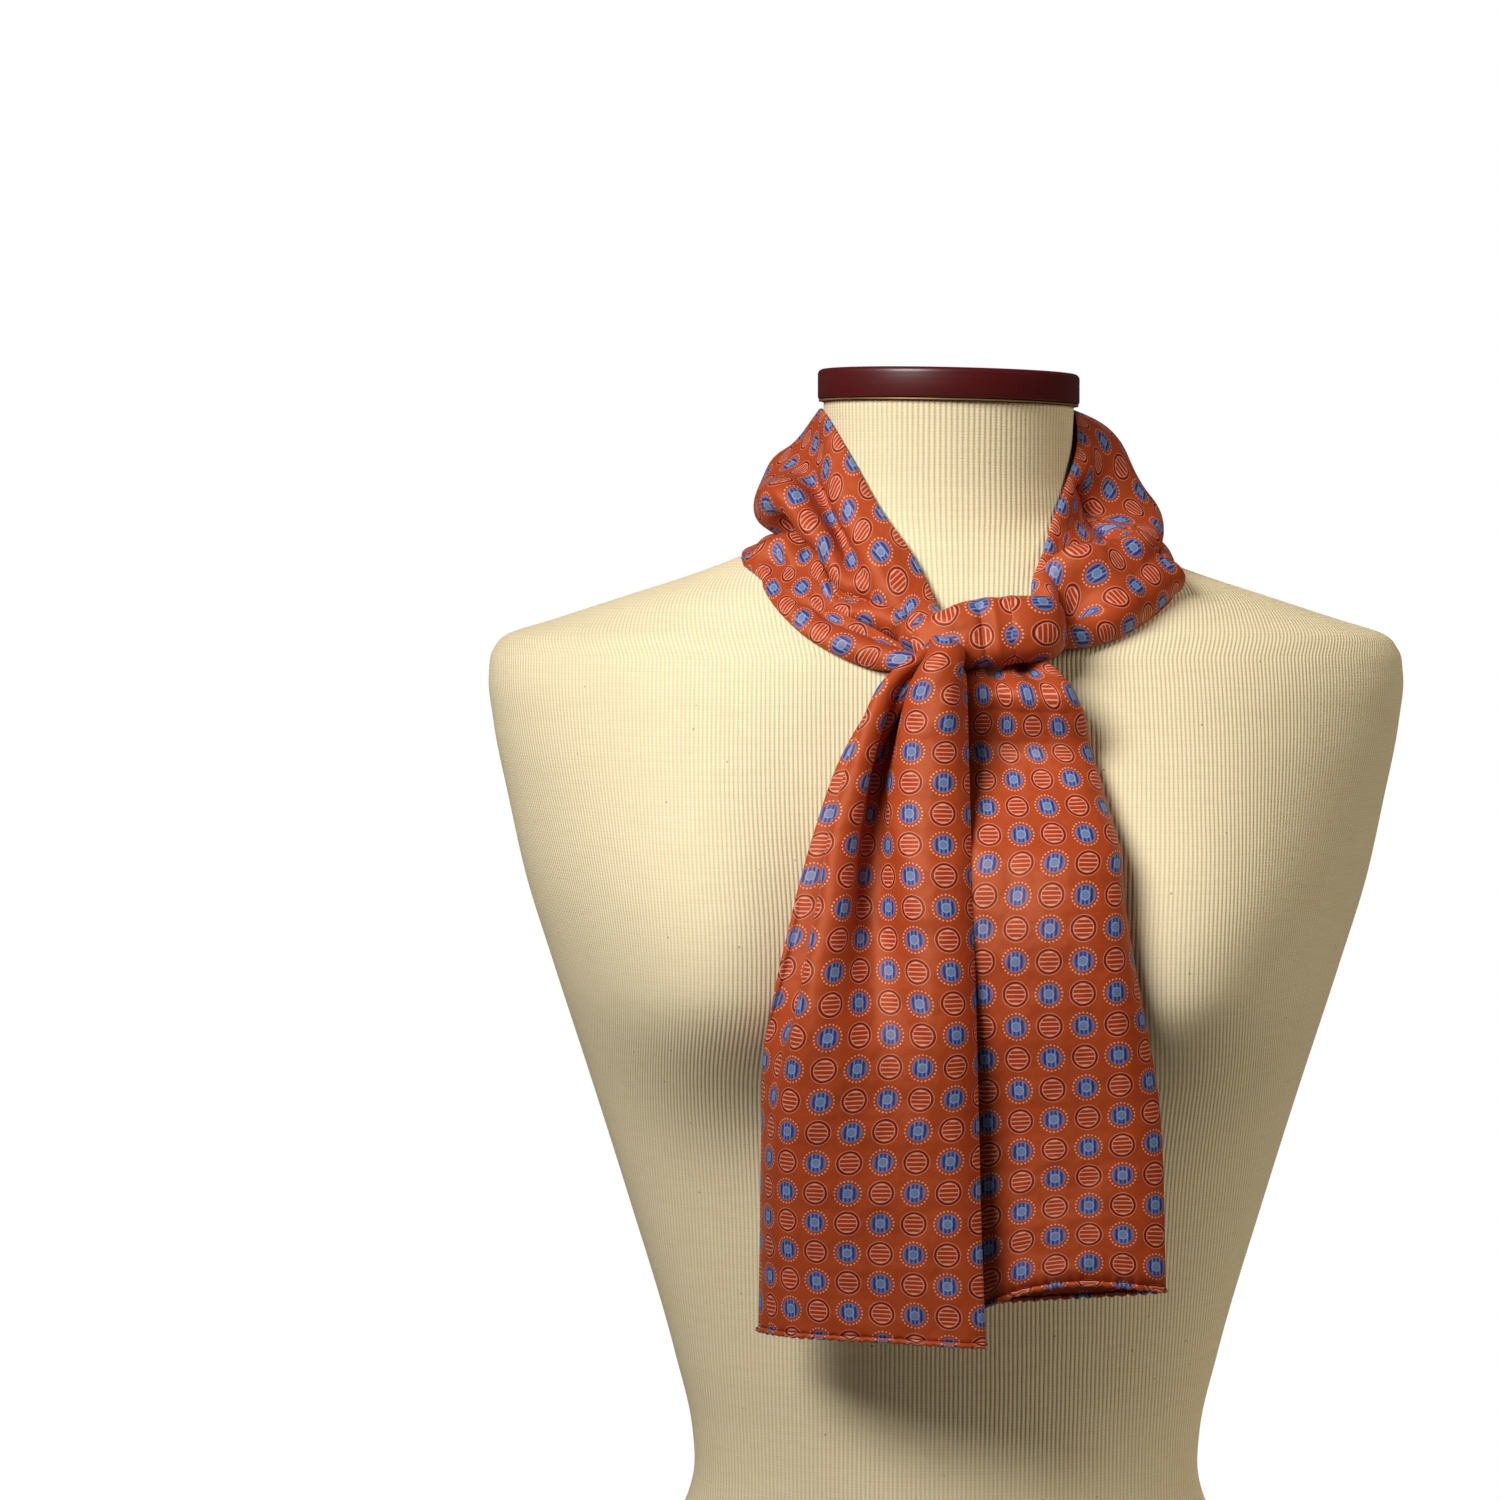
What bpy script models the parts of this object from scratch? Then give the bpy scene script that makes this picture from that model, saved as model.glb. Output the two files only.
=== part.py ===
"""A printed silk neck scarf, tied once in front, on the limbless dress form that it rests on.

The scarf is a flat tube of silk, one cloth width across and two layers thick. It goes once round
the neck, crosses in a single knot, and its two ends hang over the bust. Each stretch of it is laid
out in sections: a section runs straight from one edge of the tube to the other, and the turns of
the cloth on the way are named in a table, so the pleats keep the real width of the cloth.

Everything is worked out in millimetres and built in metres. +Z is up, the form faces -Y, and the
origin is the centre of the form's flat base. Heights in the tables are drops below the neck's top.
"""

import math

import bmesh
import bpy
import numpy as np

MM = 0.001

# Driving sizes, in millimetres and degrees
NECK_TOP = 800.0
WRAP_WALL = 1.6
TAIL_WALL = 1.1
TAIL_HOLLOW = 0.6
SEAM_GAP = 0.5
WRAP_SEAM = 0.9
REST_GAP = 1.3
TAIL_REST_GAP = 1.0
NECK_TILT = 1.9

# The form's level sections: drop, half width, front, back, middle and squareness
FORM_ROWS = (
    (0, 55, -55, 55, 0, 2.0),
    (20, 54.5, -54, 57, 1, 2.0),
    (40, 57, -54, 62, 4, 2.0),
    (55, 66, -56, 68, 10, 2.0),
    (65, 88, -59, 74, 16, 1.9),
    (74, 111, -62, 79, 20, 1.85),
    (84, 142, -66, 85, 24, 1.85),
    (95, 176, -70, 91, 27, 1.9),
    (101, 195, -73, 95, 29, 2.0),
    (108, 202, -76, 98, 30, 2.1),
    (118, 204, -79, 102, 30, 2.2),
    (140, 202, -84, 108, 30, 2.3),
    (175, 195, -89, 113, 30, 2.35),
    (210, 187, -92, 114, 28, 2.35),
    (245, 176, -92, 112, 26, 2.3),
    (297, 159, -86, 104, 22, 2.25),
    (350, 142, -79, 94, 16, 2.2),
    (420, 121, -70, 82, 10, 2.15),
    (455, 113, -68, 80, 8, 2.1),
    (475, 112.5, -69, 82, 8, 2.1),
    (500, 122, -72, 88, 10, 2.1),
    (530, 144, -77, 99, 13, 2.15),
    (560, 162, -82, 110, 16, 2.2),
    (600, 177, -87, 121, 19, 2.2),
    (640, 185, -89, 129, 21, 2.2),
    (680, 190, -89, 132, 22, 2.2),
    (720, 193, -87, 131, 22, 2.2),
    (760, 191, -84, 126, 21, 2.2),
    (800, 186, -80, 119, 20, 2.2),
)
FORM_SIDES = 52
SHOULDER_DROP = 130.0
SHOULDER_RINGS = 20
LOWER_RINGS = 19
BUST_APART = 110.0
BUST_DROP = 248.0
BUST_OUT = 50.0
BUST_WIDE = 50.0
BUST_ABOVE = 62.0
BUST_BELOW = 36.0
TILT_DEPTH = 60.0

# The wooden cap on the neck, and the metal ring under it
CAP_RADIUS = 57.5
CAP_HEIGHT = 14.5
CAP_ROUND = 2.0
TRIM_RADIUS = 56.5
TRIM_HEIGHT = 1.1
TURNED_SIDES = 48

# Each stretch of the scarf has a row for every section: the two edges of the cloth as x, y, drop,
# then the turn of the cloth, in degrees away from the line between its edges, at each of the
# places across it that the first line gives. A positive turn leads away from the form.
LOOP_ACROSS = (0, 12, 24, 32, 42, 52, 64, 76, 86, 96, 106, 115)
LOOP_ROWS = (
    (-7, -77, 90, -25, -85, 114, 40, 0, -60, -120, -100, 60, 90, -70, -100, 80, 20, -60),
    (-10, -69, 83, -38, -80, 113, 25, 5, -35, -125, -110, 30, 60, -40, -70, 60, 0, -50),
    (-18, -61, 66.5, -54, -76, 106, 15, 5, -30, -80, -140, -20, 60, 0, -80, 50, 10, -45),
    (-31.5, -48, 46.7, -68, -66, 96.5, 10, 5, -40, 10, -70, -130, 20, 60, -85, 40, 15, -45),
    (-44, -34, 23.7, -80, -46, 82.5, 8, 8, -28, 42, -20, -120, -30, 80, -80, 0, 70, -45),
    (-54, -15, 8, -88, -17, 71, 12, 14, -8, 35, -8, -105, -40, 85, -95, -30, 80, -50),
    (-57, 10, 3, -88, 16, 63, 18, 20, 8, 22, -20, -95, -40, 75, -100, -50, 85, -50),
    (-51, 33, 3, -74, 50, 60, 40, 35, 20, -30, -60, 30, 10, -80, -130, 90, 60, -40),
    (-33, 52, 3, -46, 74, 56, 55, 45, 0, -60, -60, 60, 20, -90, -120, 90, 60, -50),
    (0, 58, 3, 0, 82, 54, 55, 45, 0, -80, -60, 60, 30, -90, -120, 90, 60, -50),
    (33, 52, 3, 46, 74, 56, 55, 45, 10, -60, -30, 50, 30, -90, -120, 90, 60, -50),
    (51, 33, 3, 76, 50, 60, 50, 40, 10, -30, 0, 30, 0, -90, -120, 90, 60, -50),
    (57, 10, 4, 96, 16, 65, 30, 15, 10, 5, 5, 0, -50, -125, -40, 90, 30, -50),
    (56, -13, 20, 98, -18, 76, 20, -40, -20, 20, 20, 20, -60, -110, 40, 90, 0, -55),
    (50, -26, 36, 93.5, -42, 86, 15, -75, -25, 25, 25, 40, 110, 60, -10, 10, -35, -60),
    (44, -39, 51, 83.5, -57, 94, 15, -85, -35, 25, 40, 110, 125, 10, -10, 0, -40, -70),
    (39, -53, 64, 71, -69, 100.5, 15, -65, -65, 25, 95, 125, 50, -30, -20, 0, -50, -80),
    (33, -66, 79, 55, -78, 104.5, 25, -40, -110, -20, 110, 110, -30, -70, -50, 60, -40, -90),
    (34, -79, 89, 37, -86, 105.5, 50, -60, -120, -80, 100, 100, -80, -110, 90, 90, 0, -80),
)
LOOP_STEPS = 46
LOOP_LEFT_PART = 0.40
LOOP_BACK_PART = 0.62
LOOP_POINTS = 24

LEFT_TAIL_ACROSS = (0, 10, 20, 28, 38, 48, 58, 70, 82, 94, 106, 115)
LEFT_TAIL_ROWS = (
    (-25, -96, 101, -13, -101, 101, 50, -40, 125, 130, -80, -120, 20, 120, 30, -70, -120, -60),
    (-30, -101, 111.5, -4.5, -110.5, 111.5, 30, -20, 120, 130, -60, -110, 20, 100, 20, -60, -110, -60),
    (-39, -102, 126, 0, -111, 126, 20, 0, 120, 120, -20, -90, -30, 80, 30, -10, -60, -70),
    (-46.5, -104, 151, 2.8, -117, 151, 20, 5, 130, 130, 0, -95, -60, 80, 40, 0, -40, -80),
    (-56, -110, 180, 3.3, -125, 179.5, 20, 5, 120, 125, 0, -75, -60, 65, 40, 0, -30, -75),
    (-64, -117, 209, 4.1, -133, 208, 25, -10, 100, 110, 0, -80, -60, 55, 50, 0, -35, -70),
    (-74.5, -122, 241, 4.8, -136.5, 240.5, 35, -15, 80, 90, -10, -70, -50, 35, 45, 0, -40, -75),
    (-81, -118, 270.5, 5.4, -137.5, 269.5, 45, -5, 60, 60, -10, -45, -40, 20, 40, 0, -40, -75),
    (-82, -106, 314, 6.6, -138, 310.5, 50, 20, 45, 35, 0, -20, -25, 5, 15, -15, -40, -75),
    (-82.5, -95, 356, 7.8, -140, 352, 50, 42, 28, 15, 2, -8, -18, -22, -24, -28, -38, -70),
    (-83, -90, 393, 9.2, -139, 390, 46, 36, 24, 12, 0, -8, -18, -22, -25, -28, -36, -68),
)
RIGHT_TAIL_ACROSS = (0, 14, 28, 42, 56, 70, 82, 94, 105, 115)
RIGHT_TAIL_ROWS = (
    (-2, -82, 109, 22, -82, 109.5, 50, -70, 60, -60, 60, -60, 60, 30, -80, -100),
    (-6, -84, 113.5, 35, -84, 115, 40, -50, 45, -45, 45, -40, 50, 20, -70, -100),
    (-14, -91, 121, 47, -88, 121.5, 30, -30, 25, -25, 25, -20, 20, 0, -70, -105),
    (-18, -97, 127, 52, -90, 127, 20, -20, 15, -15, 15, -10, 0, -20, -70, -105),
    (-20, -99, 133, 54.5, -90, 133, 20, -15, 10, -10, 10, -10, 0, -25, -70, -100),
    (-21, -97, 140, 56, -87, 140, 20, -15, 10, -10, 10, 0, 0, -25, -70, -100),
    (-22, -96, 149, 57, -87, 149, 20, 0, 10, -5, 5, 0, -5, -25, -65, -95),
    (-22, -102, 162, 58.8, -90, 162, 20, 5, 10, 0, 5, 0, -8, -25, -60, -90),
    (-22.5, -109, 181, 61.2, -95, 181, 20, 8, 8, 0, 0, -2, -8, -25, -55, -85),
    (-22.5, -114, 210, 67, -105, 209.5, 35, 20, 10, 0, 0, -8, -15, -35, -70, -100),
    (-22.8, -116, 251, 75, -115, 250.5, 32, 20, 12, 2, -2, -10, -15, -28, -55, -85),
    (-23, -115, 306, 83, -114, 305, 28, 20, 12, 2, -2, -10, -15, -22, -40, -70),
    (-23, -113, 376, 84.5, -111, 372, 28, 20, 12, 2, -2, -10, -15, -22, -36, -65),
)
TAIL_STEPS = 24
TAIL_POINTS = 20
TAIL_BLIND_STEPS = 6
MOUTH_DEEP = 11.0
MOUTH_TALL = 90.0
MOUTH_ROUND = 0.8
MOUTH_TAPER = 1.5
MOUTH_FORWARD = 0.35

KNOT_ACROSS = (0, 8, 16, 24, 32, 40, 48)
KNOT_ROWS = (
    (-16, -91, 97, -14, -91, 104, 100, 60, 20, 0, -40, -80, -100),
    (-11, -87, 92, -7, -90, 110, 95, 60, 10, 0, -20, -70, -95),
    (-6, -86, 89, -1, -91, 112, 90, 60, 5, 5, -20, -60, -95),
    (4, -86, 87.5, 6, -91, 112.5, 90, 60, 10, -5, -15, -60, -95),
    (12, -86, 87, 15, -91, 111, 90, 60, 10, -10, -10, -60, -95),
    (17.5, -87, 88, 20, -91, 110, 80, 50, 10, 0, -20, -50, -85),
    (24, -86, 89, 26, -90, 109, 90, 60, 10, 0, -20, -60, -95),
    (30, -86, 91, 31, -90, 105.5, 80, 50, 10, 0, -10, -50, -85),
)
KNOT_STEPS = 14
KNOT_POINTS = 12

# How cloth is laid out: the most its turns are sharpened, the share of the points spaced evenly,
# the farthest one step moves a point off the form, and the point its outer side faces away from
SHARPEST = 1.7
EVEN_SHARE = 0.35
LIFT_STEP = 6.0
LIFT_ROUNDS = 10
NECK_AXIS_Y = 10.0
SHARP_ANGLE = 50.0

# Name, colour and roughness
FINISHES = {
    "jersey": ((0.78, 0.69, 0.47), 0.9, 0.0),
    "lacquered wood": ((0.10, 0.008, 0.010), 0.25, 0.0),
    "brass": ((0.62, 0.45, 0.20), 0.35, 1.0),
    "printed silk": ((0.62, 0.12, 0.035), 0.42, 0.0),
}

FORM_TABLE = np.array(FORM_ROWS, float)


def clear_scene():
    for item in list(bpy.data.objects):
        bpy.data.objects.remove(item, do_unlink=True)


def finish(name):
    """The material of that name, made once."""
    found = bpy.data.materials.get(name)
    if found:
        return found
    colour, roughness, metallic = FINISHES[name]
    made = bpy.data.materials.new(name)
    made.use_nodes = True
    shader = made.node_tree.nodes["Principled BSDF"]
    shader.inputs["Base Color"].default_value = (*colour, 1)
    shader.inputs["Roughness"].default_value = roughness
    shader.inputs["Metallic"].default_value = metallic
    return made


def through(stations, values, at):
    """A smooth curve through the values at rising stations, read at the given places."""
    x = np.asarray(stations, float)
    y = np.asarray(values, float)
    slope = np.gradient(y, x, axis=0)
    at = np.clip(np.asarray(at, float), x[0], x[-1])
    k = np.clip(np.searchsorted(x, at, side="right") - 1, 0, len(x) - 2)
    span = (x[k + 1] - x[k])[:, None]
    s = (at - x[k])[:, None] / span
    before = (2 * s**3 - 3 * s**2 + 1) * y[k] + (s**3 - 2 * s**2 + s) * span * slope[k]
    after = (3 * s**2 - 2 * s**3) * y[k + 1] + (s**3 - s**2) * span * slope[k + 1]
    return before + after


def neck_tilt(x, drop):
    """How far the tilt of the neck's top lifts a point of the form."""
    return -x * math.tan(math.radians(NECK_TILT)) * np.clip(1 - drop / TILT_DEPTH, 0, 1) ** 2


def bust(x, drop, half):
    """How far the bust stands in front of the plain sections."""
    across = np.exp(-0.5 * ((np.abs(x) - BUST_APART) / BUST_WIDE) ** 2)
    across += np.exp(-0.5 * ((np.abs(x) + BUST_APART) / BUST_WIDE) ** 2)
    tall = np.where(drop < BUST_DROP, BUST_ABOVE, BUST_BELOW)
    down = np.exp(-0.5 * ((drop - BUST_DROP) / tall) ** 2)
    return BUST_OUT * across * down * np.clip(1 - (np.abs(x) / half) ** 6, 0, 1)


def form_sizes(drop):
    """Half width, front, back, middle and squareness of the form's section at each drop."""
    rows = through(FORM_TABLE[:, 0], FORM_TABLE[:, 1:], np.ravel(drop))
    return [column.reshape(np.shape(drop)) for column in rows.T]


def form_ring(drop, sides):
    """One level section of the form, anticlockwise seen from above."""
    half, front, back, middle, square = form_sizes(np.full(sides, drop, float))
    turn = np.linspace(0, 2 * math.pi, sides, endpoint=False)
    across = np.sin(turn)
    ahead = np.cos(turn)
    x = half * np.sign(across) * np.abs(across) ** (2 / square)
    reach = np.where(ahead > 0, front - middle, back - middle)
    y = middle + reach * np.abs(ahead) ** (2 / square)
    y = np.where(ahead > 0, y - bust(x, drop, half), y)
    return np.stack([x, y, NECK_TOP - drop + neck_tilt(x, drop)], axis=1)


def outside(points):
    """About how far each point lies outside the form, less than 0 inside it."""
    x, y = points[..., 0], points[..., 1]
    level = NECK_TOP - points[..., 2]
    drop = level + neck_tilt(x, level)
    half, front, back, middle, square = form_sizes(drop)
    ahead = y < middle
    reach = np.where(ahead, middle - front, back - middle)
    forward = np.minimum(y + bust(x, drop, half) - middle, 0)
    local = np.where(ahead, forward, y - middle)
    ratio = ((np.abs(x) / half) ** square + (np.abs(local) / reach) ** square) ** (1 / square)
    return (ratio - 1) * np.minimum(half, reach)


def lifted(points, gap):
    """The points, with any that lie nearer the form than the gap moved straight out to it."""
    points = points.copy()
    step = 0.5
    for _ in range(LIFT_ROUNDS):
        rise = [outside(points + step * axis) - outside(points - step * axis) for axis in np.eye(3)]
        slope = np.stack(rise, axis=-1) / (2 * step)
        size = np.linalg.norm(slope, axis=-1) + 1e-6
        short = np.clip(gap - outside(points) / size, 0, LIFT_STEP)
        points += (short / size)[..., None] * slope
    return points


def laid_out(across, turns, chords):
    """Sections of cloth with these turns, as distances along and away from their chords.

    The turns are all made sharper or softer together until the section's ends are a chord apart.
    """
    step = np.diff(across)
    middle = np.radians((turns[:, 1:] + turns[:, :-1]) / 2)
    start = np.zeros((len(chords), 1))

    def walk(scale):
        angle = middle * scale[:, None]
        along = np.concatenate([start, np.cumsum(step * np.cos(angle), axis=1)], axis=1)
        away = np.concatenate([start, np.cumsum(step * np.sin(angle), axis=1)], axis=1)
        return along, away

    low = np.zeros(len(chords))
    high = np.full(len(chords), SHARPEST)
    for _ in range(30):
        scale = (low + high) / 2
        along, away = walk(scale)
        long = np.hypot(along[:, -1], away[:, -1]) > chords
        low = np.where(long, scale, low)
        high = np.where(long, high, scale)
    along, away = walk(scale)
    lean = np.arctan2(away[:, -1], along[:, -1])[:, None]
    size = (chords / np.hypot(along[:, -1], away[:, -1]))[:, None]
    straight = along * np.cos(lean) + away * np.sin(lean)
    raised = away * np.cos(lean) - along * np.sin(lean)
    return straight * size, raised * size


def spread(across, turns, count):
    """Places across the cloth, closer together where it turns."""
    fine = np.linspace(across[0], across[-1], 400)
    turn = through(across, turns.T, fine)
    bend = np.abs(np.gradient(turn, fine, axis=0)).mean(axis=1)
    weight = np.cumsum(bend + EVEN_SHARE * bend.mean())
    return np.interp(np.linspace(weight[0], weight[-1], count), weight, fine)


def cloth(rows, across, steps, points, gap):
    """The middle surface of a stretch, its outward normals and the places across it."""
    rows = np.array(rows, float)
    stations = np.arange(len(rows))
    table = through(stations, rows, np.linspace(0, len(rows) - 1, steps))
    first = table[:, 0:3]
    last = table[:, 3:6]
    first[:, 2] = NECK_TOP - first[:, 2]
    last[:, 2] = NECK_TOP - last[:, 2]
    places = spread(across, rows[:, 6:], points)
    turns = through(across, table[:, 6:].T, places).T
    chords = np.linalg.norm(last - first, axis=1)
    along, away = laid_out(places, turns, chords)
    line = (last - first) / chords[:, None]
    out = np.cross(np.gradient((first + last) / 2, axis=0), line)
    out /= np.linalg.norm(out, axis=1, keepdims=True)
    from_neck = (first + last) / 2 * (1, 1, 0) - (0, NECK_AXIS_Y, 0)
    out *= np.sign((out * from_neck).sum(axis=1))[:, None]
    surface = first[:, None] + along[..., None] * line[:, None] + away[..., None] * out[:, None]
    surface = lifted(surface, gap)
    normal = np.cross(np.gradient(surface, axis=0), np.gradient(surface, axis=1))
    normal /= np.linalg.norm(normal, axis=-1, keepdims=True)
    normal *= np.sign((normal * out[:, None]).sum(axis=-1).mean())
    return surface, normal, places


def body_of(name, rings, finish_name):
    """A closed body through rings of points, with both of its ends laddered shut."""
    mesh = bpy.data.meshes.new(name)
    work = bmesh.new()
    loops = [[work.verts.new(point) for point in ring * MM] for ring in rings]
    count = len(loops[0])
    for here, there in zip(loops, loops[1:]):
        for i in range(count):
            j = (i + 1) % count
            work.faces.new((here[i], here[j], there[j], there[i]))
    for loop in (loops[0], loops[-1]):
        for i in range(count // 2 - 1):
            work.faces.new((loop[i], loop[i + 1], loop[count - 2 - i], loop[count - 1 - i]))
    bmesh.ops.recalc_face_normals(work, faces=work.faces)
    if work.calc_volume(signed=True) < 0:
        bmesh.ops.reverse_faces(work, faces=work.faces)
    bmesh.ops.triangulate(work, faces=work.faces)
    work.to_mesh(mesh)
    work.free()
    mesh.shade_smooth()
    mesh.set_sharp_from_angle(angle=math.radians(SHARP_ANGLE))
    mesh.materials.append(finish(finish_name))
    made = bpy.data.objects.new(name, mesh)
    bpy.context.scene.collection.objects.link(made)
    return made


def wall_rings(surface, normal, half):
    """Rings round a wall of cloth: its outer face one way, its inner face back."""
    outer = surface + half * normal
    inner = surface - half * normal
    return list(np.concatenate([outer, inner[:, ::-1]], axis=1))


def dress_form():
    fine = np.linspace(0, SHOULDER_DROP, 300)
    down = np.concatenate([[0], np.cumsum(np.hypot(np.diff(fine), np.diff(form_sizes(fine)[0])))])
    upper = np.interp(np.linspace(0, down[-1], SHOULDER_RINGS), down, fine)
    lower = np.linspace(SHOULDER_DROP, NECK_TOP, LOWER_RINGS)
    drops = np.concatenate([upper, lower[1:]])
    return body_of("form_body", [form_ring(drop, FORM_SIDES) for drop in drops], "jersey")


def turned(name, profile, finish_name, height):
    """A turned body on the neck's tilted top, from its profile of radius and height."""
    turn = np.linspace(0, 2 * math.pi, TURNED_SIDES, endpoint=False)
    rings = []
    for radius, rise in profile:
        x = radius * np.cos(turn)
        y = radius * np.sin(turn)
        lean = -x * math.tan(math.radians(NECK_TILT))
        rings.append(np.stack([x, y, NECK_TOP + height + rise + lean], axis=1))
    return body_of(name, rings, finish_name)


def neck_fittings():
    turned("cap_trim", ((TRIM_RADIUS, 0), (TRIM_RADIUS, TRIM_HEIGHT)), "brass", SEAM_GAP)
    corner = [math.radians(angle) for angle in (0, 22.5, 45, 67.5, 90)]
    inset = CAP_RADIUS - CAP_ROUND
    top = CAP_HEIGHT - CAP_ROUND
    profile = [(inset, 0), (CAP_RADIUS, CAP_ROUND / 2)]
    profile += [(inset + CAP_ROUND * math.cos(a), top + CAP_ROUND * math.sin(a)) for a in corner]
    turned("neck_cap", profile, "lacquered wood", 2 * SEAM_GAP + TRIM_HEIGHT)


def neck_loop():
    """The scarf from the knot round the neck and back to the knot, in three stretches."""
    half = WRAP_WALL / 2
    surface, normal, _ = cloth(LOOP_ROWS, LOOP_ACROSS, LOOP_STEPS, LOOP_POINTS, half + REST_GAP)
    left_end = round(LOOP_LEFT_PART * (LOOP_STEPS - 1))
    back_end = round(LOOP_BACK_PART * (LOOP_STEPS - 1))
    ends = (0, left_end, back_end, LOOP_STEPS - 1)
    for name, start, stop in zip(("wrap_left", "wrap_back", "wrap_right"), ends, ends[1:]):
        piece = surface[start : stop + 1].copy()
        step = np.linalg.norm(piece[1] - piece[0], axis=-1, keepdims=True)
        piece[0] += WRAP_SEAM * (piece[1] - piece[0]) / step
        body_of(name, wall_rings(piece, normal[start : stop + 1], half), "printed silk")


def knot():
    half = WRAP_WALL / 2
    surface, normal, _ = cloth(KNOT_ROWS, KNOT_ACROSS, KNOT_STEPS, KNOT_POINTS, half + REST_GAP)
    body_of("knot_band", wall_rings(surface, normal, half), "printed silk")


def drawn_in(row, places, inner_places):
    """One row of points, read again at places a little in from its edges."""
    return np.stack([np.interp(inner_places, places, row[:, k]) for k in range(3)], axis=1)


def tail(name, rows, across, mouth):
    """A hanging end of the scarf: two layers joined at their edges, open at the hem."""
    layer = TAIL_WALL + TAIL_HOLLOW / 2
    surface, normal, places = cloth(rows, across, TAIL_STEPS, TAIL_POINTS, layer + TAIL_REST_GAP)
    above_hem = surface[:, :, 2] - surface[-1:, :, 2]
    middle = np.sin(math.pi * places / places[-1]) ** MOUTH_ROUND
    open_by = mouth * middle * np.clip(1 - above_hem / MOUTH_TALL, 0, 1) ** MOUTH_TAPER
    front = (layer + open_by * MOUTH_FORWARD)[..., None]
    back = (layer + open_by * (1 - MOUTH_FORWARD))[..., None]
    outer = np.concatenate([surface + front * normal, (surface - back * normal)[:, ::-1]], axis=1)
    inward = np.linspace(TAIL_WALL, places[-1] - TAIL_WALL, 2)
    inner_places = np.interp(places, (places[0], places[-1]), inward)
    inner_faces = []
    for offset in (front - TAIL_WALL, TAIL_WALL - back):
        face = surface + offset * normal
        inner_faces.append(np.stack([drawn_in(row, places, inner_places) for row in face]))
    inner = np.concatenate([inner_faces[0], inner_faces[1][:, ::-1]], axis=1)
    rings = list(outer) + list(inner[: TAIL_BLIND_STEPS - 1 : -1])
    body_of(name, rings, "printed silk")


def build():
    clear_scene()
    dress_form()
    neck_fittings()
    neck_loop()
    knot()
    tail("tail_left", LEFT_TAIL_ROWS, LEFT_TAIL_ACROSS, 0.0)
    tail("tail_right", RIGHT_TAIL_ROWS, RIGHT_TAIL_ACROSS, MOUTH_DEEP)


build()
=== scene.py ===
"""The looks of a printed silk neck scarf on its dress form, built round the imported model.

The scarf is a flat tube of silk. Each stretch of it is laid out in sections, from the same tables
as the model's solids but closer together, and is built here as a real tube of two thin layers.
Sizes are worked out in millimetres and built in metres. +Z is up and the form faces -Y.
"""

import math

import bmesh
import bpy
import numpy as np
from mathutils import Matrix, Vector


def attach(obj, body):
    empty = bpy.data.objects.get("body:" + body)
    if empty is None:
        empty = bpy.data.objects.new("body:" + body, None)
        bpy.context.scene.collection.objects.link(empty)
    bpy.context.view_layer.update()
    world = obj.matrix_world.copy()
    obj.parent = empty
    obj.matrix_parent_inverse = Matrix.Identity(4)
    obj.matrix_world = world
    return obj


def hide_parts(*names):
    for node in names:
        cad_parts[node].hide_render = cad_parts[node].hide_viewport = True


MM = 0.001

# Points of a mesh nearer than this, in metres, are joined
MERGE = 1e-6

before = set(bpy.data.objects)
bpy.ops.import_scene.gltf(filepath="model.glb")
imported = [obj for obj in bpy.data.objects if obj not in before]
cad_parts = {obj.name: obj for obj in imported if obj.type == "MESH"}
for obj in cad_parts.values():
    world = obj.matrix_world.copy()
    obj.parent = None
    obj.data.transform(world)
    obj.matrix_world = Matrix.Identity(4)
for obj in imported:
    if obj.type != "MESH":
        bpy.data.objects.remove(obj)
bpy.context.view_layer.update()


# The dress form's sizes

NECK_TOP = 800.0
NECK_TILT = 1.3
NECK_LEAN = math.tan(math.radians(NECK_TILT))
TILT_DEPTH = 60.0

# The form's level sections: drop, half width, front, back, middle and squareness
FORM_ROWS = (
    (0, 55, -55, 55, 0, 2.0),
    (20, 54.5, -54, 57, 1, 2.0),
    (40, 57, -54, 62, 4, 2.0),
    (55, 66, -56, 68, 10, 2.0),
    (65, 88, -59, 74, 16, 1.9),
    (74, 111, -62, 79, 20, 1.85),
    (84, 142, -66, 85, 24, 1.85),
    (95, 176, -70, 91, 27, 1.9),
    (101, 195, -73, 95, 29, 2.0),
    (108, 202, -76, 98, 30, 2.1),
    (118, 204, -79, 102, 30, 2.2),
    (140, 202, -84, 108, 30, 2.3),
    (175, 195, -89, 113, 30, 2.35),
    (210, 187, -92, 114, 28, 2.35),
    (245, 176, -92, 112, 26, 2.3),
    (297, 159, -86, 104, 22, 2.25),
    (350, 142, -79, 94, 16, 2.2),
    (420, 121, -70, 82, 10, 2.15),
    (455, 113, -68, 80, 8, 2.1),
    (475, 112.5, -69, 82, 8, 2.1),
    (500, 122, -72, 88, 10, 2.1),
    (530, 144, -77, 99, 13, 2.15),
    (560, 162, -82, 110, 16, 2.2),
    (600, 177, -87, 121, 19, 2.2),
    (640, 185, -89, 129, 21, 2.2),
    (680, 190, -89, 132, 22, 2.2),
    (720, 193, -87, 131, 22, 2.2),
    (760, 191, -84, 126, 21, 2.2),
    (800, 186, -80, 119, 20, 2.2),
)
SHOULDER_DROP = 130.0
BUST_APART = 110.0
BUST_DROP = 248.0
BUST_OUT = 50.0
BUST_WIDE = 50.0
BUST_ABOVE = 62.0
BUST_BELOW = 36.0
BUST_FADE = 6
COVER_COLUMNS = 232
COVER_SHOULDER_ROWS = 110
COVER_LOWER_ROWS = 150
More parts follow.
